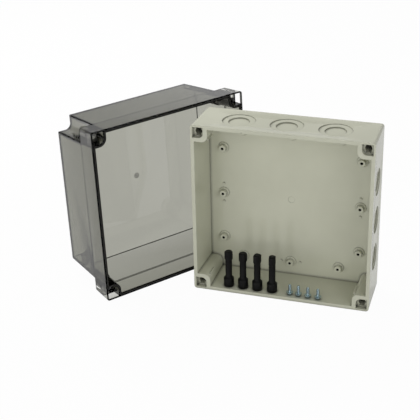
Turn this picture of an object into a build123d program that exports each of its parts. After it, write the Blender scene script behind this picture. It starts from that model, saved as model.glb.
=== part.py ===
from build123d import *
import math
import os

# Square wall box in two halves: a drafted base and a deep clear cover.
# Stored as it lies open on a table: the base stands on its lower wall with the open side
# to -Y, the cover stands turned behind its left edge, and the screws stand inside the base.
# Origin: middle of the four wall-fixing holes on the base's back face. X right, Y back, Z up.

# Base shell
box_side = 180.0
base_depth = 53.0
base_inside_depth = 45.5
base_wall = 3.6
base_outer_draft = 1.1
base_inner_draft = 1.9
base_floor = 2.8
base_corner_radius = 3.0
base_back_edge_radius = 1.8
base_gate_diameter = 7.0
base_gate_depth = 0.3

# Corner columns and the quick-turn lock in each of them
screw_inset = 7.5
column_side = 17.0
column_radius = 6.0
pocket_side = 11.0
pocket_depth = 5.0
pocket_radius = 5.0
lock_neck_length = 1.8
lock_clearance = 0.2
lock_bore_end = 12.0
wall_hole_diameter = 5.0
stub_length = 2.6
stub_root = 0.6
stub_thickness = 1.4
stub_depth = 14.0

# Screw bosses on the back wall and the locating nubs beside the middle ones
boss_reach = 70.4
boss_pitch = 50.0
boss_diameter = 7.0
boss_height = 5.3
boss_foot_diameter = 11.0
boss_foot_height = 1.6
boss_hole_diameter = 2.9
boss_hole_floor = 1.2
nub_pitch = 10.0
nub_diameter = 2.2
nub_height = 1.4

# Knock-outs: two stepped discs, one inside the other
knockout_outer_diameter = 33.0
knockout_inner_diameter = 21.0
knockout_step = 1.15
knockout_from_rim = 23.5
knockout_pitch_ends = 47.5
knockout_pitch_sides = 40.5
side_knockout_outer_diameter = 27.0
lever_notch_radius = 0.8
lever_notch_length = 2.5
lever_notch_offset = 8.5

# Cover shell
cover_depth = 76.5
cover_draft = 3.6
cover_rim_wall = 3.6
cover_front_wall = 2.8
cover_wall_step = 0.2
cover_panel = 3.0
cover_gate_diameter = 4.6
cover_gate_depth = 0.6
cover_gate_nub = 1.8
cover_corner_radius = 2.5
cover_block_depth = 25.0
notch_side = 14.4
notch_radius = 6.0
notch_edge_radius = 1.0
front_edge_radius = 1.0

# Corner blocks of the cover: a well from the rim, a web with a hole, and a seat for the
# screw head above it. The wells on the right are open to the side.
post_side = 16.6
post_radius = 8.4
well_wall = 1.5
well_side = 12.8
well_radius = 7.0
well_depth = 11.0
seat_web = 1.5
seat_clearance = 0.1
window_from_rim = 1.8

# Gasket in a groove of the cover's rim
gasket_width = 1.4
gasket_height = 1.8
gasket_groove_depth = 1.4
gasket_side_gap = 0.05
gasket_inset = 0.6

# Cover screw: plastic, with a big head and a two-lugged tip
cover_screw_head_diameter = 10.5
cover_screw_head_height = 10.2
cover_screw_shoulder = 1.2
cover_screw_shank_diameter = 6.8
cover_screw_length = 39.5
cover_screw_tip_length = 10.6
cover_screw_tip_diameter = 6.6
cover_screw_tip_cone = 0.6
cover_screw_lug_span = 8.4
cover_screw_lug_width = 4.8
cover_screw_lug_slope = 2.0
cover_screw_neck = 0.35
cover_screw_edge = 0.6
cover_screw_slot_depth = 3.2
cover_screw_slot_width = 1.6
cover_screw_slot_length = 7.4

# Plate screw: zinc plated, with a washer head
plate_screw_length = 11.4
plate_screw_shank_diameter = 3.5
plate_screw_washer_diameter = 7.0
plate_screw_washer_height = 0.8
plate_screw_head_diameter = 5.2
plate_screw_head_height = 2.1
plate_screw_point = 1.0
plate_screw_edge = 0.5
plate_screw_slot_depth = 1.1
plate_screw_slot_width = 0.9
plate_screw_slot_length = 3.6

# How the loose pieces stand beside and in the base
cover_yaw = 53.3
cover_gap = 0.7
cover_along = 38.3
cover_screw_places = [(-55.3, 7.6, 15), (-40.3, 7.7, 38), (-25.4, 7.7, 62), (-10.0, 7.9, 80)]
plate_screw_places = [(8.8, 6.4), (17.8, 5.8), (27.6, 5.3), (37.9, 4.9)]
stand_gap = 0.05

# How far a cutting shape runs past the face that it cuts
over = 1.0

half = box_side / 2
screw_reach = half - screw_inset
cover_taper = math.tan(math.radians(cover_draft))
corners = [(sx, sy) for sx in (-1, 1) for sy in (-1, 1)]


def frustum(outline, z0, z1):
    """Solid between two outlines, outline(z) being a face drawn for the height z."""
    lower = Plane.XY.offset(z0) * outline(z0)
    upper = Plane.XY.offset(z1) * outline(z1)
    return loft([lower, upper], ruled=True)


def rounded_square(half_side, radius):
    return RectangleRounded(2 * half_side, 2 * half_side, radius)


def cornered_square(half_side, corner_cut, inner_radius, edge_radius=0.0):
    """Square with its corners cut in, each cut rounded at its inner corner."""
    outline = Rectangle(2 * half_side, 2 * half_side)
    cutter = RectangleRounded(2 * corner_cut, 2 * corner_cut, inner_radius)
    for sx, sy in corners:
        outline -= Pos(sx * half_side, sy * half_side) * cutter
    if edge_radius > 0:
        tips = [v for v in outline.vertices() if max(abs(v.X), abs(v.Y)) > half_side - 0.01]
        outline = fillet(tips, edge_radius)
    return outline


def corner_rounded_square(side, radius):
    """Square of one corner post, with only the corner at its own +X +Y rounded."""
    square = Rectangle(side, side, align=(Align.MIN, Align.MIN))
    tip = square.vertices().sort_by(lambda v: v.X + v.Y)[-1]
    return fillet(tip, radius)


def in_corner(shape, sx, sy, inset=0.0, z=0.0):
    """Puts a shape drawn from a box corner inwards along +X +Y into the corner sx, sy."""
    turn = {(-1, -1): 0, (1, -1): 90, (1, 1): 180, (-1, 1): 270}[(sx, sy)]
    reach = half - inset
    return Pos(sx * reach, sy * reach, z) * Rot(0, 0, turn) * shape


def screw_axis(sx, sy, z=0.0):
    return Pos(sx * screw_reach, sy * screw_reach, z)


def base_outer_half(z):
    return half - (base_depth - z) * math.tan(math.radians(base_outer_draft))


def base_inner_half(z):
    return half - base_wall - (base_depth - z) * math.tan(math.radians(base_inner_draft))


def disc_down(diameter, depth):
    """Cylinder from z = over down to z = -depth, to sink a round recess into a face at z = 0."""
    disc = Cylinder(diameter / 2, depth + over, align=(Align.CENTER, Align.CENTER, Align.MAX))
    return Pos(0, 0, over) * disc


def knockout_recess(outer_diameter):
    """Two stepped discs to cut from a wall's outer face, drawn inwards along -Z."""
    return disc_down(outer_diameter, knockout_step) + disc_down(knockout_inner_diameter, 2 * knockout_step)


def lock_bore():
    """Keyhole for the two-lugged screw tip, its turning room below, and the wall-fixing hole."""
    neck_z = base_depth - pocket_depth
    room_z = neck_z - lock_neck_length
    neck_radius = cover_screw_tip_diameter / 2 + lock_clearance
    room_radius = cover_screw_lug_span / 2 + lock_clearance
    lug_width = cover_screw_lug_width + 2 * lock_clearance
    neck = Circle(neck_radius) + Rectangle(lug_width, 2 * room_radius)
    bore = Pos(0, 0, room_z) * extrude(neck, pocket_depth + lock_neck_length)
    room = Cylinder(room_radius, room_z - lock_bore_end, align=(Align.CENTER, Align.CENTER, Align.MIN))
    bore += Pos(0, 0, lock_bore_end) * room
    bore += Pos(0, 0, lock_bore_end) * disc_down(wall_hole_diameter, lock_bore_end + over)
    return bore


def boss(locating_nubs, along_x):
    """One screw boss on its foot, standing on the back wall, with a nub on each side if asked."""
    bottom = (Align.CENTER, Align.CENTER, Align.MIN)
    body = Cylinder(boss_foot_diameter / 2, boss_foot_height, align=bottom)
    body = chamfer(body.edges().group_by(Axis.Z)[-1], boss_foot_height * 0.6)
    body += Cylinder(boss_diameter / 2, boss_height, align=bottom)
    if locating_nubs:
        for side in (-1, 1):
            place = Pos(side * nub_pitch, 0, 0) if along_x else Pos(0, side * nub_pitch, 0)
            body += place * Cylinder(nub_diameter / 2, nub_height, align=bottom)
    return body


def boss_places():
    """Each boss as x, y, whether it has nubs and whether they lie along X."""
    places = []
    for side in (-1, 1):
        for step in (-1, 0, 1):
            places.append((side * boss_reach, step * boss_pitch, step == 0, False))
            places.append((step * boss_pitch, side * boss_reach, step == 0, True))
    return places


def make_base():
    inside_z = base_depth - base_inside_depth
    shell = frustum(lambda z: rounded_square(base_outer_half(z), base_corner_radius), 0, base_depth)
    shell = fillet(shell.faces().sort_by(Axis.Z)[0].outer_wire().edges(), base_back_edge_radius)
    cavity = frustum(
        lambda z: cornered_square(
            base_inner_half(z), column_side - half + base_inner_half(z), column_radius
        ),
        inside_z,
        base_depth,
    )
    shell -= cavity

    recess_depth = inside_z - base_floor
    recess_half = base_outer_half(0) - base_wall
    recess = cornered_square(recess_half, column_side - half + recess_half, column_radius)
    shell -= extrude(recess, recess_depth)

    pocket = Rectangle(pocket_side, pocket_side, align=(Align.MIN, Align.MIN))
    pocket = fillet(pocket.vertices().sort_by(lambda v: v.X + v.Y)[-1], pocket_radius)
    pocket = extrude(pocket, pocket_depth + over)
    stub = Box(stub_length, stub_thickness, stub_depth, align=(Align.MIN, Align.CENTER, Align.MAX))
    stub_start = column_side - column_radius * (1 - math.sqrt(0.5)) - stub_root
    for sx, sy in corners:
        shell += in_corner(
            Pos(stub_start, stub_start) * Rot(0, 0, 45) * stub, sx, sy, z=base_depth - pocket_depth
        )
        shell -= in_corner(pocket, sx, sy, screw_inset - pocket_side / 2, base_depth - pocket_depth)
        shell -= screw_axis(sx, sy) * lock_bore()

    pilot = disc_down(boss_hole_diameter, boss_height + base_floor - boss_hole_floor)
    for x, y, nubs, along_x in boss_places():
        shell += Pos(x, y, inside_z) * boss(nubs, along_x)
        shell -= Pos(x, y, inside_z + boss_height) * pilot
    shell -= Pos(0, 0, inside_z) * disc_down(base_gate_diameter, base_gate_depth)

    knockout_z = base_depth - knockout_from_rim
    face_half = base_outer_half(knockout_z)
    for step in (-1, 0, 1):
        for side in (-1, 1):
            upright = Pos(step * knockout_pitch_ends, side * face_half, knockout_z)
            recess = knockout_recess(knockout_outer_diameter)
            shell -= upright * Rot(-side * (90 - base_outer_draft), 0, 0) * recess
            beside = Pos(side * face_half, step * knockout_pitch_sides, knockout_z)
            recess = knockout_recess(side_knockout_outer_diameter)
            shell -= beside * Rot(0, side * (90 - base_outer_draft), 0) * recess
        lever_x = step * knockout_pitch_ends + lever_notch_offset
        notch = disc_down(2 * lever_notch_radius, lever_notch_length)
        shell -= Pos(lever_x, base_inner_half(base_depth), base_depth) * notch
    return shell


def cover_half(level):
    """Half width of the cover's outer face at a distance from its rim."""
    return half - level * cover_taper


def cover_wall(level):
    """Wall thickness of the cover at a distance from its rim."""
    return cover_rim_wall - (cover_rim_wall - cover_front_wall) * level / cover_depth


def make_cover():
    """Cover with its front panel at z = 0 and its rim at z = cover_depth."""
    block_z = cover_depth - cover_block_depth

    def outer(z):
        return cornered_square(cover_half(cover_depth - z), notch_side, notch_radius, notch_edge_radius)

    def outer_square(z):
        return rounded_square(cover_half(cover_depth - z), cover_corner_radius)

    def inner(z):
        wall = cover_wall(cover_depth - z) - cover_wall_step
        return cornered_square(cover_half(cover_depth - z) - wall, notch_side, notch_radius + wall)

    def inner_band(z):
        wall = cover_wall(cover_depth - z)
        return cornered_square(cover_half(cover_depth - z) - wall, post_side - wall, post_radius)

    front = frustum(outer, 0, block_z)
    front = fillet(front.faces().sort_by(Axis.Z)[0].outer_wire().edges(), front_edge_radius)
    body = front + frustum(outer_square, block_z, cover_depth)
    body -= frustum(inner, cover_panel, block_z)
    body -= frustum(inner_band, block_z, cover_depth)

    well = extrude(corner_rounded_square(well_side, well_radius), well_depth + over)
    window = Box(
        4 * well_wall,
        well_side,
        well_depth - window_from_rim,
        align=(Align.CENTER, Align.CENTER, Align.MAX),
    )
    seat_depth = cover_block_depth - well_depth - seat_web
    seat = disc_down(cover_screw_head_diameter + 2 * seat_clearance, seat_depth)
    hole = disc_down(cover_screw_lug_span + 2 * lock_clearance, cover_block_depth)
    well_middle = half - well_wall - well_side / 2
    for sx, sy in corners:
        body -= in_corner(well, sx, sy, well_wall, cover_depth - well_depth)
        upside_down = screw_axis(sx, sy, block_z) * Rot(180, 0, 0)
        body -= upside_down * seat
        body -= upside_down * hole
        if sx > 0:
            body -= Pos(half, sy * well_middle, cover_depth - window_from_rim) * window

    gate = disc_down(cover_gate_diameter, cover_gate_depth) - disc_down(cover_gate_nub, cover_gate_depth)
    body -= Pos(0, 0, cover_panel) * gate
    groove_width = gasket_width + 2 * gasket_side_gap
    body -= gasket_ring(groove_width, cover_depth - gasket_groove_depth, cover_depth + over)
    return body


def gasket_ring(width, z0, z1):
    """Ring that runs along the walls and inside the four corner posts."""
    middle = half - cover_rim_wall + gasket_inset + gasket_width / 2
    post_middle = (well_wall + well_side + post_side) / 2
    corner_cut = post_middle - (half - middle)
    radius = (well_radius + post_radius) / 2
    outer = cornered_square(middle + width / 2, corner_cut, radius - width / 2)
    inner = cornered_square(middle - width / 2, corner_cut, radius + width / 2)
    return Pos(0, 0, z0) * extrude(outer - inner, z1 - z0)


def make_gasket():
    bottom = cover_depth - gasket_groove_depth
    return gasket_ring(gasket_width, bottom, bottom + gasket_height)


def make_cover_screw():
    """Screw standing on its head at z = 0, with its tip up."""
    head_r = cover_screw_head_diameter / 2
    shank_r = cover_screw_shank_diameter / 2
    tip_r = cover_screw_tip_diameter / 2
    tip_z = cover_screw_length - cover_screw_tip_length
    outline = Polyline(
        (0, 0),
        (head_r - cover_screw_edge, 0),
        (head_r, cover_screw_edge),
        (head_r, cover_screw_head_height - cover_screw_shoulder),
        (shank_r + cover_screw_edge, cover_screw_head_height),
        (shank_r, cover_screw_head_height + cover_screw_edge),
        (shank_r, tip_z - 2 * cover_screw_neck),
        (shank_r - cover_screw_neck, tip_z - cover_screw_neck),
        (shank_r - cover_screw_neck, tip_z),
        (tip_r, tip_z),
        (tip_r, cover_screw_length - cover_screw_tip_cone),
        (tip_r - cover_screw_tip_cone, cover_screw_length),
        (0, cover_screw_length),
        close=True,
    )
    screw = revolve(Plane.XZ * make_face(outline), Axis.Z)
    lug_r = cover_screw_lug_span / 2
    lug_z = tip_z + cover_screw_lug_slope
    lug_outline = Polyline(
        (0, tip_z),
        (tip_r, tip_z),
        (lug_r, lug_z),
        (lug_r, cover_screw_length - 2 * cover_screw_tip_cone),
        (lug_r - cover_screw_tip_cone, cover_screw_length - cover_screw_tip_cone),
        (0, cover_screw_length - cover_screw_tip_cone),
        close=True,
    )
    lugs = revolve(Plane.XZ * make_face(lug_outline), Axis.Z)
    lugs &= Box(cover_screw_lug_span, cover_screw_lug_width, 2 * cover_screw_length)
    screw += lugs
    slot_box = Box(
        cover_screw_slot_length,
        cover_screw_slot_width,
        cover_screw_slot_depth,
        align=(Align.CENTER, Align.CENTER, Align.MIN),
    )
    screw -= slot_box + Rot(0, 0, 90) * slot_box
    return screw


def make_plate_screw():
    """Screw standing on its head at z = 0, with its point up."""
    head_r = plate_screw_head_diameter / 2
    washer_r = plate_screw_washer_diameter / 2
    shank_r = plate_screw_shank_diameter / 2
    washer_top = plate_screw_head_height + plate_screw_washer_height
    outline = Polyline(
        (0, 0),
        (head_r - plate_screw_edge, 0),
        (head_r, plate_screw_edge),
        (head_r, plate_screw_head_height),
        (washer_r, plate_screw_head_height),
        (washer_r, washer_top),
        (shank_r, washer_top),
        (shank_r, plate_screw_length - plate_screw_point),
        (shank_r - plate_screw_point, plate_screw_length),
        (0, plate_screw_length),
        close=True,
    )
    screw = revolve(Plane.XZ * make_face(outline), Axis.Z)
    slot_box = Box(
        plate_screw_slot_length,
        plate_screw_slot_width,
        plate_screw_slot_depth,
        align=(Align.CENTER, Align.CENTER, Align.MIN),
    )
    return screw - (slot_box + Rot(0, 0, 90) * slot_box)


def stand_up(shape):
    """Turns a half drawn open side up so that its open side faces -Y."""
    return Rot(90, 0, 0) * shape


def cover_location():
    """Where the cover stands: on its drafted lower wall, turned behind the base's left edge."""
    yaw = math.radians(cover_yaw)
    facing = (math.sin(yaw), -math.cos(yaw))
    along = (math.cos(yaw), math.sin(yaw))
    rounding = base_back_edge_radius * (abs(facing[0]) + abs(facing[1]) - 1)
    ahead = cover_gap - rounding
    edge_x = -base_outer_half(0)
    foot_x = edge_x - facing[0] * ahead - along[0] * cover_along
    foot_y = -facing[1] * ahead - along[1] * cover_along
    place = Pos(foot_x, foot_y, -half) * Rot(0, 0, cover_yaw) * Rot(-cover_draft, 0, 0)
    return place * Pos(0, cover_depth, half)


def standing_height(from_rim):
    """Height of the base's inner lower wall at a distance behind the rim."""
    return -base_inner_half(base_depth - from_rim)


def export_node(shape, name):
    shape.label = name
    export_step(shape, f"parts/{name}.step")


os.makedirs("parts", exist_ok=True)
export_node(stand_up(make_base()), "base")
cover_place = cover_location()
export_node(cover_place * stand_up(make_cover()), "cover")
export_node(cover_place * stand_up(make_gasket()), "gasket")

cover_screw = make_cover_screw()
for number, (x, from_rim, turn) in enumerate(cover_screw_places, 1):
    foot = standing_height(from_rim + cover_screw_head_diameter / 2) + stand_gap
    place = Pos(x, from_rim - base_depth, foot) * Rot(0, 0, turn)
    export_node(place * cover_screw, f"cover_screw_{number}")

plate_screw = make_plate_screw()
for number, (x, from_rim) in enumerate(plate_screw_places, 1):
    foot = standing_height(from_rim + plate_screw_head_diameter / 2) + stand_gap
    export_node(Pos(x, from_rim - base_depth, foot) * plate_screw, f"plate_screw_{number}")
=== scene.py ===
# %% [markdown]
# # A wall box, open, with its clear cover beside it
# The real object is a plastic wall box, injection-moulded in two halves: a grey base, and a
# deep clear cover with a gasket in its rim. Eight loose screws stand in the base. The packed
# CAD model is the fixed frame and gives every piece its place and size. This lesson gives the
# pieces their finishes, and makes those shapes anew that follow a rule.

# %% Load the frame
import math

import bmesh
import bpy
from mathutils import Matrix, Vector


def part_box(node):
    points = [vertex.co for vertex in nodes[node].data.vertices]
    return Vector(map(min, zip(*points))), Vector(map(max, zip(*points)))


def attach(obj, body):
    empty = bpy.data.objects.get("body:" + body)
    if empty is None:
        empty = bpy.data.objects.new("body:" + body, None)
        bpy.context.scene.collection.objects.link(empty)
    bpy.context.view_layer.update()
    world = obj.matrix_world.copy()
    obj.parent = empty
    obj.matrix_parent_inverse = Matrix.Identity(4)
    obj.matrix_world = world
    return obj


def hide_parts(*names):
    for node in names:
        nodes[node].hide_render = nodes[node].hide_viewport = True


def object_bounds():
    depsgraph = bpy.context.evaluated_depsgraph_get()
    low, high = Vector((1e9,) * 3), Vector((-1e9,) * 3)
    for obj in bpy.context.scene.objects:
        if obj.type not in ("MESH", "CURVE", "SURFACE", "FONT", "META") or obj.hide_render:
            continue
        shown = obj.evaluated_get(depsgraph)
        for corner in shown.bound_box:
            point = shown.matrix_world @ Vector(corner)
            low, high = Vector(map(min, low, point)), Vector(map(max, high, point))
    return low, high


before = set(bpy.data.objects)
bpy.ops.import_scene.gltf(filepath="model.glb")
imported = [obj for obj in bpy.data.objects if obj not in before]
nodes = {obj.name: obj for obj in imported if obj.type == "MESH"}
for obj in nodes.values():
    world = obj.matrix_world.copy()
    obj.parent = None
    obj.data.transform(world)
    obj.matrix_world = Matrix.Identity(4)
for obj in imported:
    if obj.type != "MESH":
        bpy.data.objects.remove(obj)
cad_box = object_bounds()
print("CAD box", cad_box)

# %% [markdown]
# ## Camera
# The box is seen through a long lens from the right and above. The camera could be aimed by
# eye with a target to look at. Here its place and its turn were worked out from the corners
# of both halves, so that they agree at once, and the turn is given as three axes: right, down
# and forward.

# %% Camera
view_place = (0.24917, -1.04213, 0.52086)
view_right = Vector((0.95416, 0.29860, -0.02033))
view_down = Vector((0.11620, -0.43221, -0.89425))
view_forward = Vector((-0.27581, 0.85090, -0.44709))
view_lens = 100.9


def add_camera():
    data = bpy.data.cameras.new("view")
    data.sensor_width = 36.0
    data.lens = view_lens
    data.clip_start = 0.05
    data.clip_end = 20.0
    camera = bpy.data.objects.new("view", data)
    turn = Matrix((view_right, -view_down, -view_forward)).transposed().to_4x4()
    camera.matrix_world = Matrix.Translation(view_place) @ turn
    bpy.context.scene.collection.objects.link(camera)
    bpy.context.scene.camera = camera


add_camera()
bpy.context.scene.view_settings.view_transform = "Standard"
print("camera at", view_place, "with a lens of", view_lens, "mm")

# %% [markdown]
# ## A small kit for node trees
# Every finish below is a Principled shader with a little noise in its colour, its gloss or its
# surface, and some shapes are Geometry Nodes. Such trees can be wired by hand in the editor.
# Written as a script, they need a few helpers that add and join nodes, so that each finish
# reads as a list of what is special about it.

# %% Helpers that add, join and calculate
def join(tree, source, socket):
    """Links a node's output to a socket, or writes a plain value into it."""
    if isinstance(source, bpy.types.NodeSocket):
        tree.links.new(source, socket)
    else:
        socket.default_value = source


def add_node(tree, kind, settings=(), **sources):
    """Adds a node, with its settings, and with its inputs joined by name."""
    node = tree.nodes.new(kind)
    for key, value in dict(settings).items():
        setattr(node, key, value)
    for key, source in sources.items():
        join(tree, source, node.inputs[key.replace("_", " ")])
    return node


def maths(tree, operation, *values):
    node = add_node(tree, "ShaderNodeMath", {"operation": operation})
    for source, socket in zip(values, node.inputs):
        join(tree, source, socket)
    return node.outputs[0]


def vector_maths(tree, operation, first, second):
    """A dot product gives a number, and every other operation a vector."""
    node = add_node(tree, "ShaderNodeVectorMath", {"operation": operation})
    join(tree, first, node.inputs[0])
    join(tree, second, node.inputs["Scale" if operation == "SCALE" else 1])
    return node.outputs["Value" if operation == "DOT_PRODUCT" else "Vector"]


print("nodes can be added, joined and calculated with")


# %% Helpers for finishes
def new_material(name):
    material = bpy.data.materials.new(name)
    material.use_nodes = True
    tree = material.node_tree
    return material, tree, tree.nodes["Principled BSDF"]


def object_place(tree):
    """Place on the object in metres, which moves and turns with it."""
    return add_node(tree, "ShaderNodeTexCoord").outputs["Object"]


def object_noise(tree, scale, detail=4.0, roughness=0.55):
    """Noise from 0 to 1 that is fixed to the object; scale is in waves per metre."""
    noise = add_node(tree, "ShaderNodeTexNoise", Vector=object_place(tree), Scale=scale,
                     Detail=detail, Roughness=roughness)
    return noise.outputs["Fac"]


def spread(tree, value, low, high, span=(0.3, 0.7)):
    """Maps a value within the span to the range low to high, and holds it beyond the ends."""
    ramp = add_node(tree, "ShaderNodeMapRange", Value=value, From_Min=span[0], From_Max=span[1],
                    To_Min=low, To_Max=high)
    return ramp.outputs["Result"]


def two_tone(tree, value, first, second, span=(0.35, 0.65)):
    """Colour that goes from the first tone to the second as the value crosses the span."""
    ramp = add_node(tree, "ShaderNodeValToRGB", Fac=value)
    for element, place, tone in zip(ramp.color_ramp.elements, span, (first, second)):
        element.position = place
        element.color = (*tone, 1)
    return ramp.outputs["Color"]


print("finishes can vary by noise")


# %% Helpers for edges and bump
bump_edge_samples = 6
line_samples = 8


def rounded_normal(tree, radius, samples):
    """Direction that the surface would face if its edges were rounded by the radius."""
    return add_node(tree, "ShaderNodeBevel", {"samples": samples}, Radius=radius).outputs["Normal"]


def add_bump(tree, shader, height, strength, distance, edge=0.0):
    """Bump from a height; edge softens the look of sharp edges by that radius in metres."""
    bump = add_node(tree, "ShaderNodeBump", Strength=strength, Distance=distance, Height=height)
    if edge > 0:
        join(tree, rounded_normal(tree, edge, bump_edge_samples), bump.inputs["Normal"])
    join(tree, bump.outputs["Normal"], shader.inputs["Normal"])


def near_edges(tree, radius):
    """1 where the surface turns sharply within the radius, 0 where it is flat."""
    facing = add_node(tree, "ShaderNodeNewGeometry").outputs["Normal"]
    rounded = rounded_normal(tree, radius, line_samples)
    agreement = vector_maths(tree, "DOT_PRODUCT", rounded, facing)
    return spread(tree, agreement, 1.0, 0.0, (0.92, 0.998))


print("bump softens edges, and lines are drawn with", line_samples, "samples")

# %% [markdown]
# ## The grey base
# The base is moulded in a warm light grey from a polished mould. Its surface is smooth enough
# to show soft reflections of the dark screws on the back wall, with a fine grain on top. Flat
# grey paint would look lifeless, so the tone drifts a little over the large walls. Inner
# corners and deep bores lose light in the real box, and the shader paints more shade into their
# colour by how closed in each spot is: within 4 mm for corners, and within 12 mm for bores.
# That painted shade needs no extra lamps and leaves the open walls alone.

# %% Grey moulded plastic
grey_tones = (0.560, 0.565, 0.450), (0.610, 0.615, 0.495)
corner_reach = 0.004
bore_reach = 0.012
darkest_painted_shade = 0.12


def painted_shade_by_closeness(tree, reach, span):
    """Painted shade: share of the tone that is left where other walls are near, 1 on an open
    surface.
    """
    openness = add_node(tree, "ShaderNodeAmbientOcclusion", {"samples": 8}, Distance=reach)
    return spread(tree, openness.outputs["AO"], darkest_painted_shade, 1.0, span)


def grey_plastic():
    material, tree, shader = new_material("grey moulded plastic")
    tone = two_tone(tree, object_noise(tree, 14.0, detail=3.0), *grey_tones)
    corner_painted_shade = painted_shade_by_closeness(tree, corner_reach, (0.25, 0.88))
    bore_painted_shade = painted_shade_by_closeness(tree, bore_reach, (0.05, 0.25))
    # Painted shade: the tone is darkened in inner corners and deep bores, where the real box gets
    # less light.
    shaded = vector_maths(tree, "SCALE", tone, maths(tree, "MULTIPLY", corner_painted_shade, bore_painted_shade))
    join(tree, shaded, shader.inputs["Base Color"])
    grain = object_noise(tree, 1700.0, detail=2.0, roughness=0.6)
    join(tree, spread(tree, grain, 0.11, 0.17), shader.inputs["Roughness"])
    shader.inputs["Specular IOR Level"].default_value = 0.6
    add_bump(tree, shader, grain, 0.05, 0.00012, edge=0.0004)
    return material


base_finish = grey_plastic()
print(base_finish.name, "has", len(base_finish.node_tree.nodes), "nodes")

# %% [markdown]
# ## Rounded edges for moulded parts
# No edge of a moulding is truly sharp, and a small round catches a line of light. Rounding
# every edge in CAD is slow and easily fails, so a copy of the CAD node gets a Bevel modifier.
# The copy is first welded and its flat faces are joined, because a CAD mesh is loose triangles
# and a bevel needs real edges. The width is 0.4 mm at most: the modifier keeps to less where
# small faces leave no more room, which is so for much of the cover.

# %% Round the base's edges
edge_round = 0.0004
round_segments = 2
weld_reach = 2e-6
flat_angle = math.radians(0.5)
shading_angle = math.radians(30)
round_angle = math.radians(35)


def welded_copy(node):
    """Mesh of a CAD node with its triangles welded and its flat faces joined."""
    solid = bmesh.new()
    solid.from_mesh(nodes[node].data)
    bmesh.ops.remove_doubles(solid, verts=solid.verts, dist=weld_reach)
    bmesh.ops.dissolve_limit(solid, angle_limit=flat_angle, verts=solid.verts, edges=solid.edges)
    mesh = bpy.data.meshes.new(f"{node} softened")
    solid.to_mesh(mesh)
    solid.free()
    mesh.shade_smooth()
    mesh.set_sharp_from_angle(angle=shading_angle)
    return mesh


def tell(piece):
    """Prints how many faces a piece has, whether it is closed, and its volume."""
    check = bmesh.new()
    check.from_mesh(piece.data)
    open_edges = sum(not edge.is_manifold for edge in check.edges)
    volume = check.calc_volume() * 1e9
    print(f"{piece.name}: {len(check.faces)} faces, {open_edges} open edges, {volume:.0f} mm3")
    check.free()


def soften(node, material, width):
    """Stands for a CAD node with a copy of it whose sharp edges are rounded."""
    mesh = welded_copy(node)
    mesh.materials.append(material)
    piece = bpy.data.objects.new(f"{node}_moulded", mesh)
    bpy.context.scene.collection.objects.link(piece)
    bevel = piece.modifiers.new("edges", "BEVEL")
    bevel.width = width
    bevel.segments = round_segments
    bevel.limit_method = "ANGLE"
    bevel.angle_limit = round_angle
    bevel.miter_outer = "MITER_ARC"
    bevel.use_clamp_overlap = True
    bevel.harden_normals = True
    shape = piece.evaluated_get(bpy.context.evaluated_depsgraph_get())
    made = bpy.data.meshes.new_from_object(shape)
    piece.modifiers.remove(bevel)
    piece.data = made
    tell(piece)
    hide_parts(node)
    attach(piece, node)
    return piece


soften("base", base_finish, edge_round)

# %% [markdown]
# ## Where the cover stands
# The cover is drawn lying on its front panel with the rim up, then stood up, turned, and
# leaned on its draft. A second camera fit could give its place, but the CAD model already holds
# it, so one matrix repeats those steps. The clear plastic needs it for the step in the walls,
# and the gasket needs it for its groove.

# %% Place of the cover
cover_depth = 76.5
block_depth = 25.0
cover_yaw = math.radians(53.3)
cover_lean = math.radians(3.6)
cover_foot = Vector((-111.86, -30.72, -90.0))
half_side = 90.0


def cover_place():
    """Turns the cover's own directions (rim plane XY, rim side up, in mm) into the frame."""
    turn = Matrix.Rotation(cover_yaw, 4, "Z") @ Matrix.Rotation(-cover_lean, 4, "X")
    stood_up = Matrix.Rotation(math.radians(90), 4, "X")
    drawn = Matrix.Translation((0, cover_depth, half_side)) @ stood_up
    return Matrix.Scale(0.001, 4) @ Matrix.Translation(cover_foot) @ turn @ drawn


print("cover rim faces", [round(v, 3) for v in cover_place().to_3x3().normalized().col[2]])

# %% [markdown]
# ## The clear cover: where its lines of painted shade run
# The cover is smoke-tinted polycarbonate. Light that enters a clear wall near an edge is bent
# away by the rounded edge and never reaches the eye, so the real cover is outlined by thin dark
# lines. The edges here are too fine to bend light like that in a picture this size, so the
# lines are painted into the material as shade. It is told where they run in three ways: by
# the marks that the next cells put on the rounded edges, by how sharply the surface turns at
# the corner blocks, and by the distance behind the rim, where the walls step thinner.

# %% Painted shade line at the step of the walls
painted_step_line_span = (0.4, 0.8)
outer_share = 0.4
block_edge_reach = 0.0022


def behind_rim(tree, place):
    """Distance behind the cover's rim in mm, from a place in the frame."""
    level = cover_place().inverted().row[2]
    along = vector_maths(tree, "DOT_PRODUCT", place, level[:3])
    return maths(tree, "SUBTRACT", cover_depth - level[3], along)


def painted_wall_step_shade(tree, place, depth):
    """Painted shade: a dark line round the inside of the walls, where they step thinner behind the
    corner blocks.
    """
    off_step = maths(tree, "ABSOLUTE", maths(tree, "SUBTRACT", depth, block_depth))
    line = spread(tree, off_step, 1.0, 0.0, painted_step_line_span)
    middle = cover_place() @ Vector((0, 0, cover_depth - block_depth))
    outward = vector_maths(tree, "SUBTRACT", place, middle)
    surface = add_node(tree, "ShaderNodeNewGeometry").outputs["Normal"]
    facing_out = vector_maths(tree, "DOT_PRODUCT", surface, outward)
    share = spread(tree, facing_out, 1.0, outer_share, (-0.03, -0.01))
    return maths(tree, "MULTIPLY", line, share)


def painted_block_edge_shade(tree, depth):
    """Painted shade: dark lines at the edges near the rim and behind the blocks, and faint ones in
    between.
    """
    past_rim = spread(tree, depth, 1.0, 0.3, (1.2, 2.5))
    past_block = spread(tree, depth, 0.3, 1.0, (22, 24))
    strength = maths(tree, "MAXIMUM", past_rim, past_block)
    return maths(tree, "MULTIPLY", near_edges(tree, block_edge_reach), strength)


print("step line", cover_depth - block_depth, "mm over the front panel")
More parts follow.
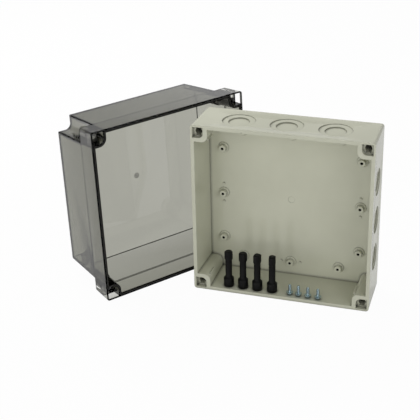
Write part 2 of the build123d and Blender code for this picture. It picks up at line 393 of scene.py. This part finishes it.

# %% [markdown]
# ## The clear cover: its plastic
# The tint sits inside the plastic, so a wall looks darker the more plastic the light crosses:
# pale through the front panel, nearly black where the rim is seen end on. A coloured surface
# can't do that, and a volume that absorbs light does it by itself. Where a line of painted
# shade runs, the tone goes to black and the plastic stops bending and mirroring light, so that
# no white reflection lies on the line.

# %% Smoke-clear polycarbonate
clear_bend = 1.58
no_bend = 1.0
painted_line_shade_tone = (0.01, 0.01, 0.01)
tint_tone = (0.42, 0.42, 0.34, 1)
tint_density = 470.0


def clear_plastic():
    material, tree, shader = new_material("smoke clear polycarbonate")
    rounded = add_node(tree, "ShaderNodeAttribute", {"attribute_name": "rounded edge"})
    place = object_place(tree)
    depth = behind_rim(tree, place)
    line = maths(tree, "MAXIMUM", painted_block_edge_shade(tree, depth), painted_wall_step_shade(tree, place, depth))
    line = maths(tree, "MAXIMUM", line, rounded.outputs["Fac"])
    # Painted shade: the dark lines are painted black into the colour, and the plastic stops bending
    # light there.
    join(tree, two_tone(tree, line, (1, 1, 1), painted_line_shade_tone, (0.0, 0.8)), shader.inputs["Base Color"])
    shader.inputs["IOR"].default_value = clear_bend
    join(tree, spread(tree, line, clear_bend, no_bend, (0.1, 0.8)), shader.inputs["IOR"])
    shader.inputs["Transmission Weight"].default_value = 1.0
    haze = object_noise(tree, 30.0, detail=2.0)
    join(tree, spread(tree, haze, 0.010, 0.035), shader.inputs["Roughness"])
    add_bump(tree, shader, object_noise(tree, 22.0, detail=1.0), 0.02, 0.0004)
    tint = add_node(tree, "ShaderNodeVolumeAbsorption", Color=tint_tone, Density=tint_density)
    join(tree, tint.outputs["Volume"], tree.nodes["Material Output"].inputs["Volume"])
    return material


cover_finish = clear_plastic()
clear_cover = soften("cover", cover_finish, edge_round)

# %% [markdown]
# ## Marks on the cover's rounded edges
# The outer edges of the cover need one even line of painted shade. A person could select those
# faces and paint them. A rule finds them as well, and finds them again when a size changes: a
# face that rounds an edge is narrow, and it bulges at both of its long sides. The blocks are
# left out, because so many edges meet there that they would turn black.

# %% Mark the rounded edges
narrow_width = 0.0006
hollow_angle = -0.02
rim_band = 1.0


def rounds_outer_edge(face, level):
    """Whether a face is a narrow strip over an outward edge, and isn't on a corner block."""
    narrow = 2 * face.calc_area() / face.calc_perimeter() < narrow_width
    long_sides = sorted(face.edges, key=lambda edge: -edge.calc_length())[:2]
    bulges = all(edge.calc_face_angle_signed(0) > hollow_angle for edge in long_sides)
    on_block = cover_depth - block_depth < level < cover_depth - rim_band
    return narrow and bulges and not on_block


def mark_rounded_edges(piece):
    """Face attribute for the cover's material, 1 on the faces that round an outer edge."""
    to_cover = cover_place().inverted()
    solid = bmesh.new()
    solid.from_mesh(piece.data)
    marks = []
    for face in solid.faces:
        level = (to_cover @ face.calc_center_median()).z
        marks.append(float(rounds_outer_edge(face, level)))
    solid.free()
    marked = piece.data.attributes.new("rounded edge", "FLOAT", "FACE")
    marked.data.foreach_set("value", marks)
    print(f"{piece.name}: {sum(marks):.0f} faces round an outer edge")


mark_rounded_edges(clear_cover)

# %% [markdown]
# ## The gasket's foam
# A strip of dark foamed rubber lies in the cover's rim. A plain black would look like hard
# rubber. Foam is dull and has fine cells at its surface, which a cell texture gives to both
# its tone and its bump.

# %% Foamed rubber
foam_cells = 2600.0
foam_tones = (0.012, 0.012, 0.011), (0.026, 0.026, 0.024)


def foamed_rubber():
    material, tree, shader = new_material("foamed rubber")
    cells = add_node(tree, "ShaderNodeTexVoronoi", Vector=object_place(tree), Scale=foam_cells)
    depth = cells.outputs["Distance"]
    join(tree, two_tone(tree, depth, *foam_tones, span=(0.1, 0.6)), shader.inputs["Base Color"])
    shader.inputs["Roughness"].default_value = 0.85
    shader.inputs["Specular IOR Level"].default_value = 0.25
    add_bump(tree, shader, depth, 0.4, 0.0002)
    return material


gasket_finish = foamed_rubber()
print(gasket_finish.name, "has", len(gasket_finish.node_tree.nodes), "nodes")

# %% [markdown]
# ## Shapes that follow a rule
# A gasket is a profile swept along a path. A turned screw is one outline spun about an axis,
# and its thread is that outline pushed out along a helix. Such shapes can be modelled face by
# face, but as rules they are short in Geometry Nodes, and every size stays a named input. The
# helpers below build a tree, run it on a mesh, and keep the result as a plain mesh.

# %% Helpers that build a tree
crease_angle = math.radians(35)


def new_tree(name, inputs):
    """Geometry Nodes tree with a geometry input and the named inputs: (name, socket type)."""
    tree = bpy.data.node_groups.new(name, "GeometryNodeTree")
    tree.interface.new_socket("Geometry", in_out="INPUT", socket_type="NodeSocketGeometry")
    for label, kind in inputs:
        tree.interface.new_socket(label, in_out="INPUT", socket_type=kind)
    tree.interface.new_socket("Geometry", in_out="OUTPUT", socket_type="NodeSocketGeometry")
    return tree, tree.nodes.new("NodeGroupInput").outputs


def named_value(tree, name):
    """Number that each point of the given mesh carries under this name."""
    node = add_node(tree, "GeometryNodeInputNamedAttribute", {"data_type": "FLOAT"}, Name=name)
    return node.outputs["Attribute"]


def finish_tree(tree, geometry, material):
    """Ends a tree: sharp edges where faces meet steeply, real instances, and the material."""
    angle = add_node(tree, "GeometryNodeInputMeshEdgeAngle").outputs["Unsigned Angle"]
    steep = add_node(tree, "FunctionNodeCompare", {"data_type": "FLOAT"}, A=angle, B=crease_angle)
    smooth = add_node(tree, "GeometryNodeSetShadeSmooth", {"domain": "FACE"}, Geometry=geometry)
    sharp = add_node(tree, "GeometryNodeSetShadeSmooth", {"domain": "EDGE"},
                     Geometry=smooth.outputs[0], Selection=steep.outputs["Result"],
                     Shade_Smooth=False)
    real = add_node(tree, "GeometryNodeRealizeInstances", Geometry=sharp.outputs[0])
    painted = add_node(tree, "GeometryNodeSetMaterial", Geometry=real.outputs[0], Material=material)
    join(tree, painted.outputs[0], tree.nodes.new("NodeGroupOutput").inputs[0])
    print(tree.name, "has", len(tree.nodes), "nodes")


print("edges over", round(math.degrees(crease_angle)), "degrees stay sharp")


# %% Helper that runs a tree
def made_by_rule(piece, tree, values):
    """Plain mesh that the tree makes from the piece's mesh, with its inputs set by identifier."""
    modifier = piece.modifiers.new("rule", "NODES")
    modifier.node_group = tree
    for socket in tree.interface.items_tree:
        if socket.in_out == "INPUT" and socket.name in values:
            modifier[socket.identifier] = values[socket.name]
    shape = piece.evaluated_get(bpy.context.evaluated_depsgraph_get())
    made = bpy.data.meshes.new_from_object(shape)
    piece.modifiers.remove(modifier)
    return made


def run_tree(name, mesh, tree, values, place, node, body):
    """Runs a tree on a mesh and keeps the result as a plain piece that stands for its node."""
    piece = bpy.data.objects.new(name, mesh)
    bpy.context.scene.collection.objects.link(piece)
    made = made_by_rule(piece, tree, values)
    piece.data = made
    solid = bmesh.new()
    solid.from_mesh(made)
    bmesh.ops.recalc_face_normals(solid, faces=solid.faces)
    solid.to_mesh(made)
    solid.free()
    made.transform(place)
    made.update()
    tell(piece)
    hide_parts(node)
    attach(piece, body)


print("rules are run one mesh at a time")

# %% [markdown]
# ## The gasket as a laid strip
# The real gasket is one foamed strip pressed into a groove: it runs along the four walls and
# bends in round each corner block. A ring cut from a block would have straight, dead edges, so
# the tree rounds the corners of a path, sweeps a soft-edged rectangle along it, and lets the
# foam swell a little unevenly.

# %% The strip that follows a path
bend_steps = 14
path_step = 0.0008
edge_steps = 3
edge_share = 0.3
swell_waves = 350.0


def round_corners(tree, curve, radius, steps):
    """Curve with its corners rounded by the radius."""
    bends = add_node(tree, "GeometryNodeFilletCurve", {"mode": "POLY"}, Count=steps, Curve=curve,
                     Radius=radius)
    return bends.outputs[0]


def swell(tree, amount):
    """Offset along the surface's normal that varies from place to place."""
    noise = add_node(tree, "ShaderNodeTexNoise", Scale=swell_waves, Detail=2.0)
    height = maths(tree, "MULTIPLY", maths(tree, "SUBTRACT", noise.outputs[0], 0.5), amount)
    return vector_maths(tree, "SCALE", add_node(tree, "GeometryNodeInputNormal").outputs[0], height)


def strip_tree():
    tree, given = new_tree("strip along a groove", [
        ("Width", "NodeSocketFloat"),
        ("Height", "NodeSocketFloat"),
        ("Unevenness", "NodeSocketFloat"),
        ("Material", "NodeSocketMaterial"),
    ])
    path = add_node(tree, "GeometryNodeMeshToCurve", Mesh=given["Geometry"]).outputs[0]
    bent = round_corners(tree, path, named_value(tree, "bend"), bend_steps)
    even = add_node(tree, "GeometryNodeResampleCurve", {"mode": "LENGTH"}, Length=path_step,
                    Curve=bent)
    upright = add_node(tree, "GeometryNodeSetCurveNormal", {"mode": "Z_UP"}, Curve=even.outputs[0])
    profile = add_node(tree, "GeometryNodeCurvePrimitiveQuadrilateral", Width=given["Width"],
                       Height=given["Height"])
    edge_radius = maths(tree, "MULTIPLY", given["Width"], edge_share)
    soft = round_corners(tree, profile.outputs[0], edge_radius, edge_steps)
    strip = add_node(tree, "GeometryNodeCurveToMesh", Curve=upright.outputs[0], Profile_Curve=soft,
                     Fill_Caps=True)
    foam = add_node(tree, "GeometryNodeSetPosition", Geometry=strip.outputs[0],
                    Offset=swell(tree, given["Unevenness"]))
    finish_tree(tree, foam.outputs[0], given["Material"])
    return tree


strip_rule = strip_tree()

# %% The gasket's path in the rim
gasket_run = 87.7
gasket_corner = 13.15
block_bend = 7.7
wall_bend = 0.6


def gasket_path():
    """Closed path round the rim; each point has the radius in metres that its bend gets."""
    inner = gasket_run - gasket_corner
    corner = [
        (inner, gasket_run, wall_bend),
        (inner, inner, block_bend),
        (gasket_run, inner, wall_bend),
    ]
    points, bends = [], []
    for quarter in range(4):
        turn = Matrix.Rotation(-quarter * math.pi / 2, 2)
        for x, y, radius in corner:
            place = turn @ Vector((x, y))
            points.append((place.x / 1000, place.y / 1000, 0))
            bends.append(radius / 1000)
    mesh = bpy.data.meshes.new("gasket path")
    mesh.from_pydata(points, [(i, (i + 1) % len(points)) for i in range(len(points))], [])
    mesh.attributes.new("bend", "FLOAT", "POINT").data.foreach_set("value", bends)
    print("gasket path:", len(points), "corners")
    return mesh


# %% Lay the gasket in its groove
groove_depth = 1.4
strip_height = 1.8


def lay_gasket():
    middle = cover_depth - groove_depth + strip_height / 2
    place = cover_place() @ Matrix.Translation((0, 0, middle)) @ Matrix.Scale(1000, 4)
    values = {"Width": 0.0014, "Height": strip_height / 1000, "Unevenness": 0.00012,
              "Material": gasket_finish}
    run_tree("gasket_strip", gasket_path(), strip_rule, values, place, "gasket", "cover")


lay_gasket()

# %% [markdown]
# ## Black and zinc screws
# The cover screws are moulded in black nylon: very dark, with a soft shine where the mould was
# polished. The plate screws are steel with bright zinc, slightly blue, with a cloudy grain from
# the plating. One dark and one metal material from a library would do at a distance. Here each
# gets its own noise, slow in the tone and gloss and fine in the bump.

# %% Screw finishes
nylon_tones = (0.0015, 0.0015, 0.0015), (0.004, 0.004, 0.0035)
zinc_tones = (0.34, 0.45, 0.49), (0.46, 0.56, 0.60)


def black_nylon():
    material, tree, shader = new_material("black nylon")
    drift = object_noise(tree, 260.0, detail=3.0)
    join(tree, two_tone(tree, drift, *nylon_tones), shader.inputs["Base Color"])
    join(tree, spread(tree, drift, 0.38, 0.52), shader.inputs["Roughness"])
    shader.inputs["Specular IOR Level"].default_value = 0.16
    add_bump(tree, shader, object_noise(tree, 2600.0, 2.0), 0.15, 0.0001, edge=0.0003)
    return material


def bright_zinc():
    material, tree, shader = new_material("bright zinc")
    cloud = object_noise(tree, 420.0, detail=4.0)
    join(tree, two_tone(tree, cloud, *zinc_tones), shader.inputs["Base Color"])
    join(tree, spread(tree, cloud, 0.14, 0.26), shader.inputs["Roughness"])
    shader.inputs["Metallic"].default_value = 1.0
    add_bump(tree, shader, object_noise(tree, 3000.0, 2.0), 0.1, 0.00008, edge=0.0001)
    return material


nylon_finish = black_nylon()
zinc_finish = bright_zinc()
print("finishes:", nylon_finish.name, "and", zinc_finish.name)

# %% [markdown]
# ## A screw rolled from a grid
# A Screw modifier could spin the outline, but a thread that fades and a tip with lugs would
# still be separate work. The tree starts from a flat grid, with a row for each point of the
# outline and a column for each step round the axis, and rolls it up: each grid point works out
# its own place. The thread is a rise and fall that shifts along the axis as it goes round. The
# tip's two lugs are a wide disc with two sides cut flat. A cross is cut into the head at the end.

# %% The grid and the outline's values on it
seam_reach = 1e-6


def grid_over(tree, outline, segments):
    """Grid for the outline, with the row of each point and its share of a full turn."""
    size = add_node(tree, "GeometryNodeAttributeDomainSize", Geometry=outline)
    columns = maths(tree, "ADD", segments, 1)
    grid = add_node(tree, "GeometryNodeMeshGrid", Vertices_X=size.outputs["Point Count"],
                    Vertices_Y=columns)
    index = add_node(tree, "GeometryNodeInputIndex").outputs[0]
    row = maths(tree, "FLOOR", maths(tree, "DIVIDE", maths(tree, "ADD", index, 0.5), columns))
    column = maths(tree, "SUBTRACT", index, maths(tree, "MULTIPLY", row, columns))
    return grid.outputs["Mesh"], row, maths(tree, "DIVIDE", column, segments)


def on_outline(tree, outline, row, value, kind="FLOAT"):
    """Value of the outline's point that belongs to this row."""
    node = add_node(tree, "GeometryNodeSampleIndex", {"data_type": kind}, Geometry=outline,
                    Index=row)
    join(tree, value, next(s for s in node.inputs if s.name == "Value" and s.enabled))
    return next(s for s in node.outputs if s.enabled)


print("grid points less than", seam_reach * 1000, "mm apart are merged")


# %% Thread, lugs and cross
def thread_rise(tree, height, share, given):
    """Height of the helical ridge over the shank."""
    turns = maths(tree, "SUBTRACT", maths(tree, "DIVIDE", height, given["Pitch"]), share)
    slope = maths(tree, "SUBTRACT", maths(tree, "MULTIPLY", maths(tree, "FRACT", turns), 2), 1)
    ridge = maths(tree, "SUBTRACT", 1, maths(tree, "ABSOLUTE", slope))
    return maths(tree, "MULTIPLY", ridge, given["Thread Depth"])


def lug_reach(tree, angle, given):
    """Radius of a disc as wide as the lugs' span, with two flats at the lugs' width."""
    half_width = maths(tree, "MULTIPLY", given["Lug Width"], 0.5)
    sine = maths(tree, "ABSOLUTE", maths(tree, "SINE", angle))
    flat = maths(tree, "DIVIDE", half_width, maths(tree, "MAXIMUM", sine, 0.001))
    return maths(tree, "MINIMUM", maths(tree, "MULTIPLY", given["Lug Span"], 0.5), flat)


def cut_cross(tree, body, given):
    """Cuts two crossed bars out of the head, which is at the foot of a standing screw."""
    both_ways = maths(tree, "MULTIPLY", given["Recess Depth"], 2)
    size = add_node(tree, "ShaderNodeCombineXYZ", X=given["Recess Length"],
                    Y=given["Recess Width"], Z=both_ways)
    bar = add_node(tree, "GeometryNodeMeshCube", Size=size.outputs[0]).outputs[0]
    across = add_node(tree, "GeometryNodeTransform", Geometry=bar, Rotation=(0, 0, math.pi / 2))
    cut = add_node(tree, "GeometryNodeMeshBoolean", {"operation": "DIFFERENCE", "solver": "EXACT"})
    join(tree, body, cut.inputs["Mesh 1"])
    join(tree, across.outputs[0], cut.inputs["Mesh 2"])
    join(tree, bar, cut.inputs["Mesh 2"])
    return cut.outputs["Mesh"]


print("a screw can have a thread, two lugs and a cross")


# %% The screw's tree
def screw_tree():
    tree, given = new_tree("standing screw", [
        ("Segments", "NodeSocketInt"),
        ("Pitch", "NodeSocketFloat"),
        ("Thread Depth", "NodeSocketFloat"),
        ("Lug Span", "NodeSocketFloat"),
        ("Lug Width", "NodeSocketFloat"),
        ("Recess Length", "NodeSocketFloat"),
        ("Recess Width", "NodeSocketFloat"),
        ("Recess Depth", "NodeSocketFloat"),
        ("Material", "NodeSocketMaterial"),
    ])
    outline = given["Geometry"]
    grid, row, share = grid_over(tree, outline, given["Segments"])
    angle = maths(tree, "MULTIPLY", share, math.tau)
    position = add_node(tree, "GeometryNodeInputPosition").outputs[0]
    place = on_outline(tree, outline, row, position, "FLOAT_VECTOR")
    spot = add_node(tree, "ShaderNodeSeparateXYZ", Vector=place).outputs
    threaded = on_outline(tree, outline, row, named_value(tree, "thread"))
    rise = maths(tree, "MULTIPLY", thread_rise(tree, spot["Z"], share, given), threaded)
    lugged = on_outline(tree, outline, row, named_value(tree, "lug"))
    lug = maths(tree, "MULTIPLY", lug_reach(tree, angle, given), lugged)
    radius = maths(tree, "MAXIMUM", maths(tree, "ADD", spot["X"], rise), lug)
    x = maths(tree, "MULTIPLY", radius, maths(tree, "COSINE", angle))
    y = maths(tree, "MULTIPLY", radius, maths(tree, "SINE", angle))
    rolled_place = add_node(tree, "ShaderNodeCombineXYZ", X=x, Y=y, Z=spot["Z"]).outputs[0]
    rolled = add_node(tree, "GeometryNodeSetPosition", Geometry=grid, Position=rolled_place)
    closed = add_node(tree, "GeometryNodeMergeByDistance", Geometry=rolled.outputs[0],
                      Distance=seam_reach)
    outward = add_node(tree, "GeometryNodeFlipFaces", Mesh=closed.outputs[0])
    finish_tree(tree, cut_cross(tree, outward.outputs[0], given), given["Material"])
    return tree


screw_rule = screw_tree()

# %% [markdown]
# ## Outlines of the two kinds of screw
# A lathe follows one outline, and so does the tree. Each point is a radius and a height in
# millimetres, from the head on the floor to the tip, with the share of the thread and of the
# lugs that it carries. The outline could be drawn as a curve, but a list of points is easier
# to check against the CAD sizes.

# %% Outlines
thread_rows = 84
thread_start, thread_length = 3.2, 7.9
tip_radius = 3.3


def plain(*places):
    """Outline points with neither thread nor lugs, from pairs of radius and height."""
    return [(radius, height, 0, 0) for radius, height in places]


def plate_screw_outline():
    """Pan head, washer, and a threaded shank whose thread fades in and out."""
    stations = plain((0, 0), (2.05, 0), (2.4, 0.12), (2.6, 0.5), (2.6, 1.95), (2.75, 2.1),
                     (3.3, 2.1), (3.5, 2.3), (3.5, 2.75), (3.35, 2.9), (1.7, 2.9), (1.38, 3.1))
    for number in range(thread_rows + 1):
        along = number / thread_rows
        fade = min(1, along * 12, (1 - along) * 8)
        radius = 1.36 - 0.3 * max(0, along - 0.88) / 0.12
        stations.append((radius, thread_start + thread_length * along, fade, 0))
    return stations + plain((0.9, 11.3), (0.7, 11.4), (0, 11.4))


def cover_screw_outline():
    """Big head, plain shank, a shallow neck, and a tip whose lugs slope towards the neck."""
    stations = plain((0, 0), (4.5, 0), (4.95, 0.15), (5.25, 0.6), (5.25, 8.7), (5.1, 9.05),
                     (4.75, 9.4), (4.1, 10.1), (3.6, 10.5), (3.4, 11.0), (3.4, 28.0),
                     (3.05, 28.4), (3.05, 28.8))
    lugs = (28.9, 0.786), (30.7, 0.985), (31.1, 1), (38.0, 1), (38.5, 0.96), (38.9, 0.86)
    for height, share in lugs:
        stations.append((tip_radius, height, 0, share))
    return stations + plain((3.25, 39.1), (2.7, 39.5), (0, 39.5))


print("plate screw", plate_screw_outline()[-1][1], "mm long")
print("cover screw", cover_screw_outline()[-1][1], "mm long")


# %% [markdown]
# ## Eight loose screws
# The heads stand on the floor of the base. Copies of one screw would do, but each screw stands
# on the foot of its own CAD node and gets its own listed turn, so every one is made from the tree
# at its node.

# %% Stand the screws in the base
def outline_mesh(name, stations):
    """Line of points (radius, height, thread share, lug share), radii and heights in mm."""
    mesh = bpy.data.meshes.new(name)
    points = [(radius / 1000, 0, height / 1000) for radius, height, _, _ in stations]
    mesh.from_pydata(points, [(i, i + 1) for i in range(len(points) - 1)], [])
    for label, column in (("thread", 2), ("lug", 3)):
        values = mesh.attributes.new(label, "FLOAT", "POINT")
        values.data.foreach_set("value", [station[column] for station in stations])
    return mesh


plate_screw_sizes = {
    "Segments": 40, "Pitch": 0.0007, "Thread Depth": 0.00036, "Lug Span": 0.0, "Lug Width": 0.0,
    "Recess Length": 0.0036, "Recess Width": 0.0009, "Recess Depth": 0.0011,
    "Material": zinc_finish,
}
cover_screw_sizes = {
    "Segments": 96, "Pitch": 0.001, "Thread Depth": 0.0, "Lug Span": 0.0084, "Lug Width": 0.0048,
    "Recess Length": 0.0074, "Recess Width": 0.0016, "Recess Depth": 0.0032,
    "Material": nylon_finish,
}
plate_screw_turns = (25, 50, 75, 100)
cover_screw_turns = (15, 38, 62, 80)


def stand_screws(kind, stations, sizes, turns):
    """Makes the screws of one kind, each on the foot of its CAD node and turned by its listed
    angle.
    """
    outline = outline_mesh(f"{kind} outline", stations)
    for number, turn in enumerate(turns, 1):
        node = f"{kind}_{number}"
        low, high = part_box(node)
        foot = ((low[0] + high[0]) / 2, (low[1] + high[1]) / 2, low[2])
        place = Matrix.Translation(foot) @ Matrix.Rotation(math.radians(turn), 4, "Z")
        run_tree(f"{node}_turned", outline.copy(), screw_rule, sizes, place, node, node)


stand_screws("plate_screw", plate_screw_outline(), plate_screw_sizes, plate_screw_turns)
stand_screws("cover_screw", cover_screw_outline(), cover_screw_sizes, cover_screw_turns)

# %% [markdown]
# ## A white table
# The box stands on a white table. More light would make a grey floor white, but would bleach
# the box with it. So the floor glows white only for what the eye sees directly or through the
# clear cover, less so in reflections, and is a pale floor for all other light. The little
# that it doesn't glow keeps the object's shadow.

# %% Floor
floor_tone = (0.68, 0.68, 0.67, 1)
floor_reach = 6.0
floor_gap = 0.0002
glow_share = 0.97
gloss_share = 0.4


def seen_share(tree):
    """1 for what the eye sees directly or through the clear cover, less in a reflection."""
    path = tree.nodes.new("ShaderNodeLightPath").outputs
    in_gloss = maths(tree, "MULTIPLY", path["Is Glossy Ray"], gloss_share)
    seen_apart = maths(tree, "MAXIMUM", path["Is Transmission Ray"], in_gloss)
    return maths(tree, "MAXIMUM", path["Is Camera Ray"], seen_apart)


def white_floor():
    material, tree, shader = new_material("white table")
    shader.inputs["Base Color"].default_value = floor_tone
    shader.inputs["Roughness"].default_value = 0.9
    glow = add_node(tree, "ShaderNodeEmission", Color=(1, 1, 1, 1), Strength=1.0)
    seen = maths(tree, "MULTIPLY", seen_share(tree), glow_share)
    mix = add_node(tree, "ShaderNodeMixShader", Fac=seen)
    join(tree, shader.outputs["BSDF"], mix.inputs[1])
    join(tree, glow.outputs["Emission"], mix.inputs[2])
    join(tree, mix.outputs["Shader"], tree.nodes["Material Output"].inputs["Surface"])
    return material


def add_floor():
    low = cad_box[0][2] - floor_gap
    sides = (-1, -1), (1, -1), (1, 1), (-1, 1)
    corners = [(x * floor_reach, y * floor_reach, low) for x, y in sides]
    mesh = bpy.data.meshes.new("floor")
    mesh.from_pydata(corners, [], [(0, 1, 2, 3)])
    mesh.materials.append(white_floor())
    floor = bpy.data.objects.new("floor", mesh)
    bpy.context.scene.collection.objects.link(floor)
    print("floor at", round(low, 4))


add_floor()

# %% [markdown]
# ## The room's light
# The walls of a bright studio light the box from all sides, and its ceiling less. A picture of
# a studio would do that too, but it would bring its own windows into the gloss. A plain world
# that is brightest at the horizon is easier to steer. The camera sees it as white. Through the
# clear cover it is nearly dark, as if a dark wall stood far off: with a white one the cover's
# walls come out too pale.

# %% World
horizon_level = 0.595
overhead_level = 0.20
level_through_cover = 0.01


def white_world():
    world = bpy.data.worlds.new("studio")
    bpy.context.scene.world = world
    world.use_nodes = True
    tree = world.node_tree
    background = tree.nodes["Background"]
    background.inputs["Color"].default_value = (1, 1, 1, 1)
    place = add_node(tree, "ShaderNodeTexCoord").outputs["Generated"]
    height = add_node(tree, "ShaderNodeSeparateXYZ", Vector=place).outputs["Z"]
    to_horizon = maths(tree, "SUBTRACT", 1, maths(tree, "ABSOLUTE", height))
    above = maths(tree, "MULTIPLY", maths(tree, "MAXIMUM", height, 0), overhead_level)
    sky = maths(tree, "ADD", maths(tree, "MULTIPLY", to_horizon, horizon_level), above)
    path = tree.nodes.new("ShaderNodeLightPath").outputs
    lit = maths(tree, "MULTIPLY", sky, maths(tree, "SUBTRACT", 1, path["Is Transmission Ray"]))
    dark = maths(tree, "MULTIPLY", path["Is Transmission Ray"], level_through_cover)
    strength = maths(tree, "MAXIMUM", maths(tree, "ADD", lit, dark), path["Is Camera Ray"])
    join(tree, strength, background.inputs["Strength"])
    print("world", horizon_level, "at the horizon and", overhead_level, "overhead")


white_world()

# %% [markdown]
# ## Five soft boxes
# A big box from behind on the left lights the tops and the inside of the base. A smaller one in
# front on the right and one overhead lift the rims, and two low strips in front and at the left
# fill in the lower walls. Their sizes are large, because small lamps would throw hard shadows.
# None of them shows to the camera or through the cover, and the one behind doesn't show in
# gloss either, where it would sparkle in the cover's corner blocks.

# %% Lamps
soft_boxes = {
    "back_left_box": ((-0.8, 0.5, 0.7), (0, 0, 0), (0.6, 0.6), 9.8),
    "front_right_box": ((0.8, -0.9, 0.5), (0, 0, 0), (0.6, 0.6), 2.8),
    "overhead_box": ((0.0, 0.0, 1.1), (0, 0, 0), (0.8, 0.8), 1.4),
    "low_front_strip": ((0.0, -1.3, 0.15), (0, 0, 0), (0.8, 0.3), 1.5),
    "low_left_strip": ((-0.5, -0.75, 0.0), (0, 0, 0.08), (0.6, 0.15), 1.1),
}
hidden_in_gloss = ("back_left_box",)


def add_soft_box(name, place, target, size, power):
    data = bpy.data.lights.new(name, "AREA")
    data.shape = "RECTANGLE"
    data.size, data.size_y = size
    data.energy = power
    lamp = bpy.data.objects.new(name, data)
    lamp.location = place
    lamp.rotation_euler = (Vector(target) - Vector(place)).to_track_quat("-Z", "Y").to_euler()
    lamp.visible_camera = False
    lamp.visible_transmission = False
    lamp.visible_glossy = name not in hidden_in_gloss
    bpy.context.scene.collection.objects.link(lamp)
    print(f"{name}: {power} W")


for box_name, box_values in soft_boxes.items():
    add_soft_box(box_name, *box_values)
